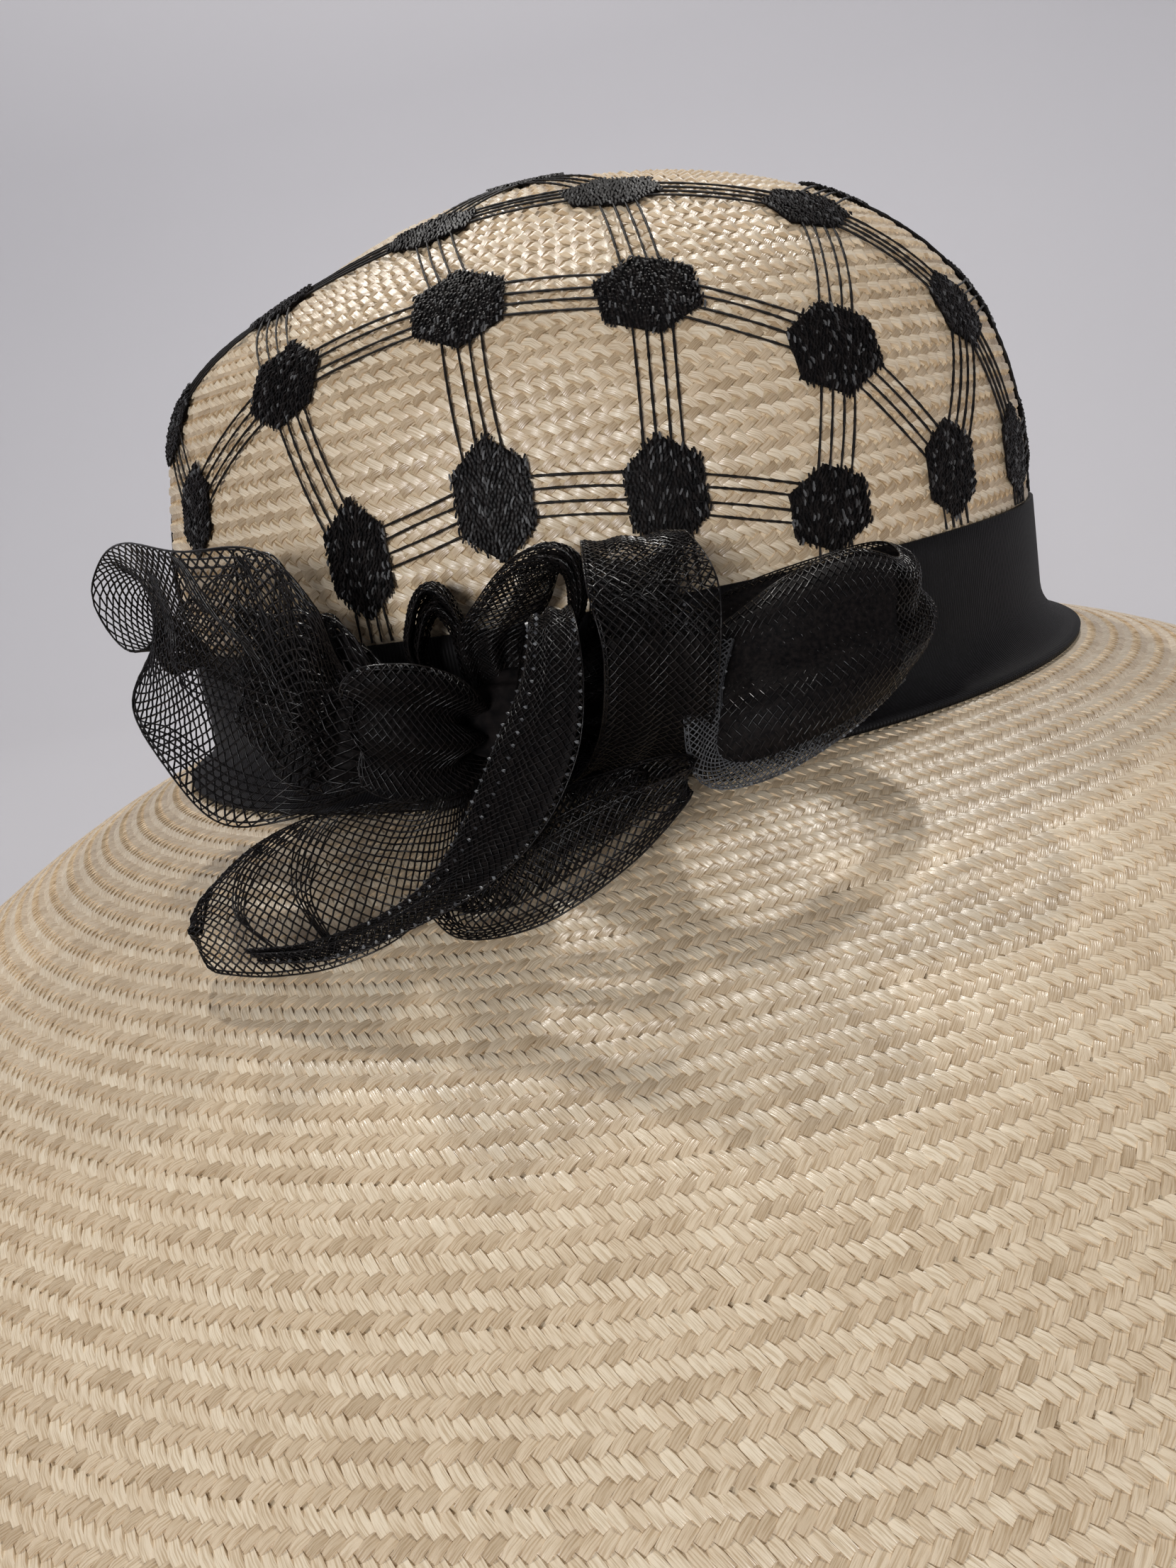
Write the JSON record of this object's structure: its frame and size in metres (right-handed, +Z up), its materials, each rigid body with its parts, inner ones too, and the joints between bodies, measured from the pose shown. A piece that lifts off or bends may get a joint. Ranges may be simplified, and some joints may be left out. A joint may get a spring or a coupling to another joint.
{
  "type": "capeline hat",
  "caption": "Wide-brimmed woven straw hat with a domed crown under a black lace net, a black ribbed band and a black net ribbon bow at the front.",
  "frame": {"origin": "centre of the rim's box, on the floor that the rim stands on", "axes": "+Z up through the crown, -Y towards the bow (the pictured front), +X along the head's long axis"},
  "size_m": [0.447, 0.425, 0.1794],
  "materials": {
    "straw": "natural twill-plaited straw, glossy floats",
    "petersham": "black ribbed petersham, soft sheen",
    "lace_thread": "black embroidered cotton thread, matt",
    "crinoline": "black open crinoline net, slightly glossy yarn"
  },
  "bodies": {
    "root": {"crown": "straw", "brim": "straw", "hat_band": "petersham", "lace_net": "lace_thread", "bow_knot": "crinoline", "bow_tail": "crinoline", "bow_loop_centre": "crinoline", "bow_loop_left": "crinoline", "bow_loop_right": "crinoline", "bow_fold_left": "crinoline", "bow_loop_low_left": "crinoline", "bow_loop_low_centre": "crinoline", "bow_loop_top": "crinoline", "bow_loop_upright": "crinoline"}
  },
  "joints": []
}
